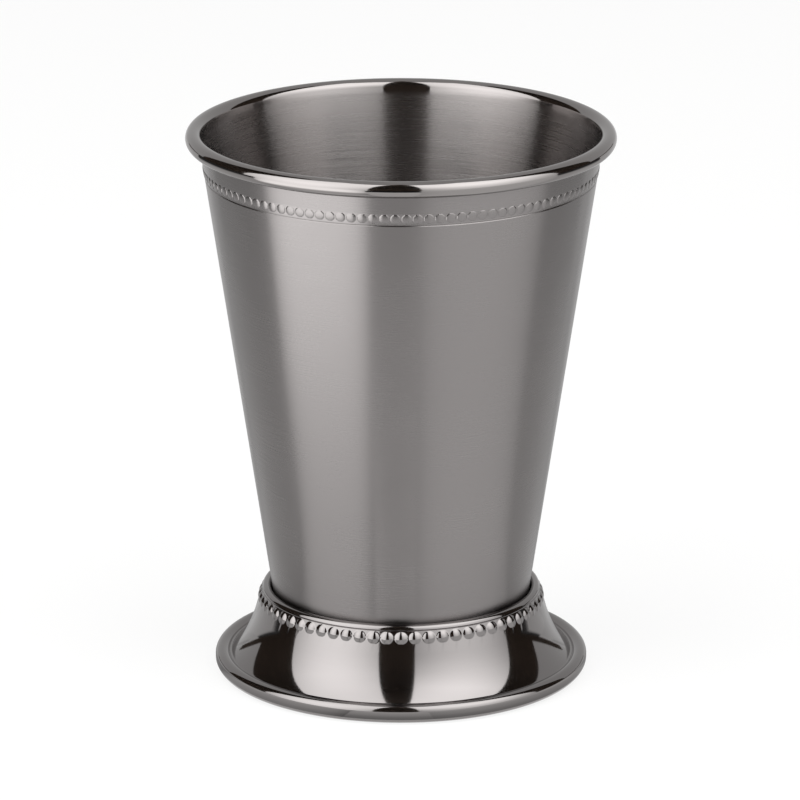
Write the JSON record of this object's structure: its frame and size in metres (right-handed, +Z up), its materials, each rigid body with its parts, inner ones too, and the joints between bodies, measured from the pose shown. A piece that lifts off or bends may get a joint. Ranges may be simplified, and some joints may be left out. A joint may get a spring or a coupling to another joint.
{
  "type": "julep cup",
  "caption": "Footed julep cup: tapered drawn metal cup with rolled lip and beaded border, brazed into a flared hollow foot with a bead row and rolled edge.",
  "frame": {"origin": "centre of the flat ring that the foot rests on, on the cup's axis", "axes": "+Z up along the cup's axis; +X to the right and +Y away from the camera in the picture"},
  "size_m": [0.0826, 0.0826, 0.108],
  "materials": {
    "satin_black_nickel": "satin black-nickel plate, brushed inside",
    "polished_black_nickel": "polished black-nickel plate",
    "silver_braze": "dull, as flowed"
  },
  "bodies": {
    "root": {"cup_body": "satin_black_nickel", "foot": "polished_black_nickel", "braze_ring": "silver_braze"}
  },
  "joints": []
}
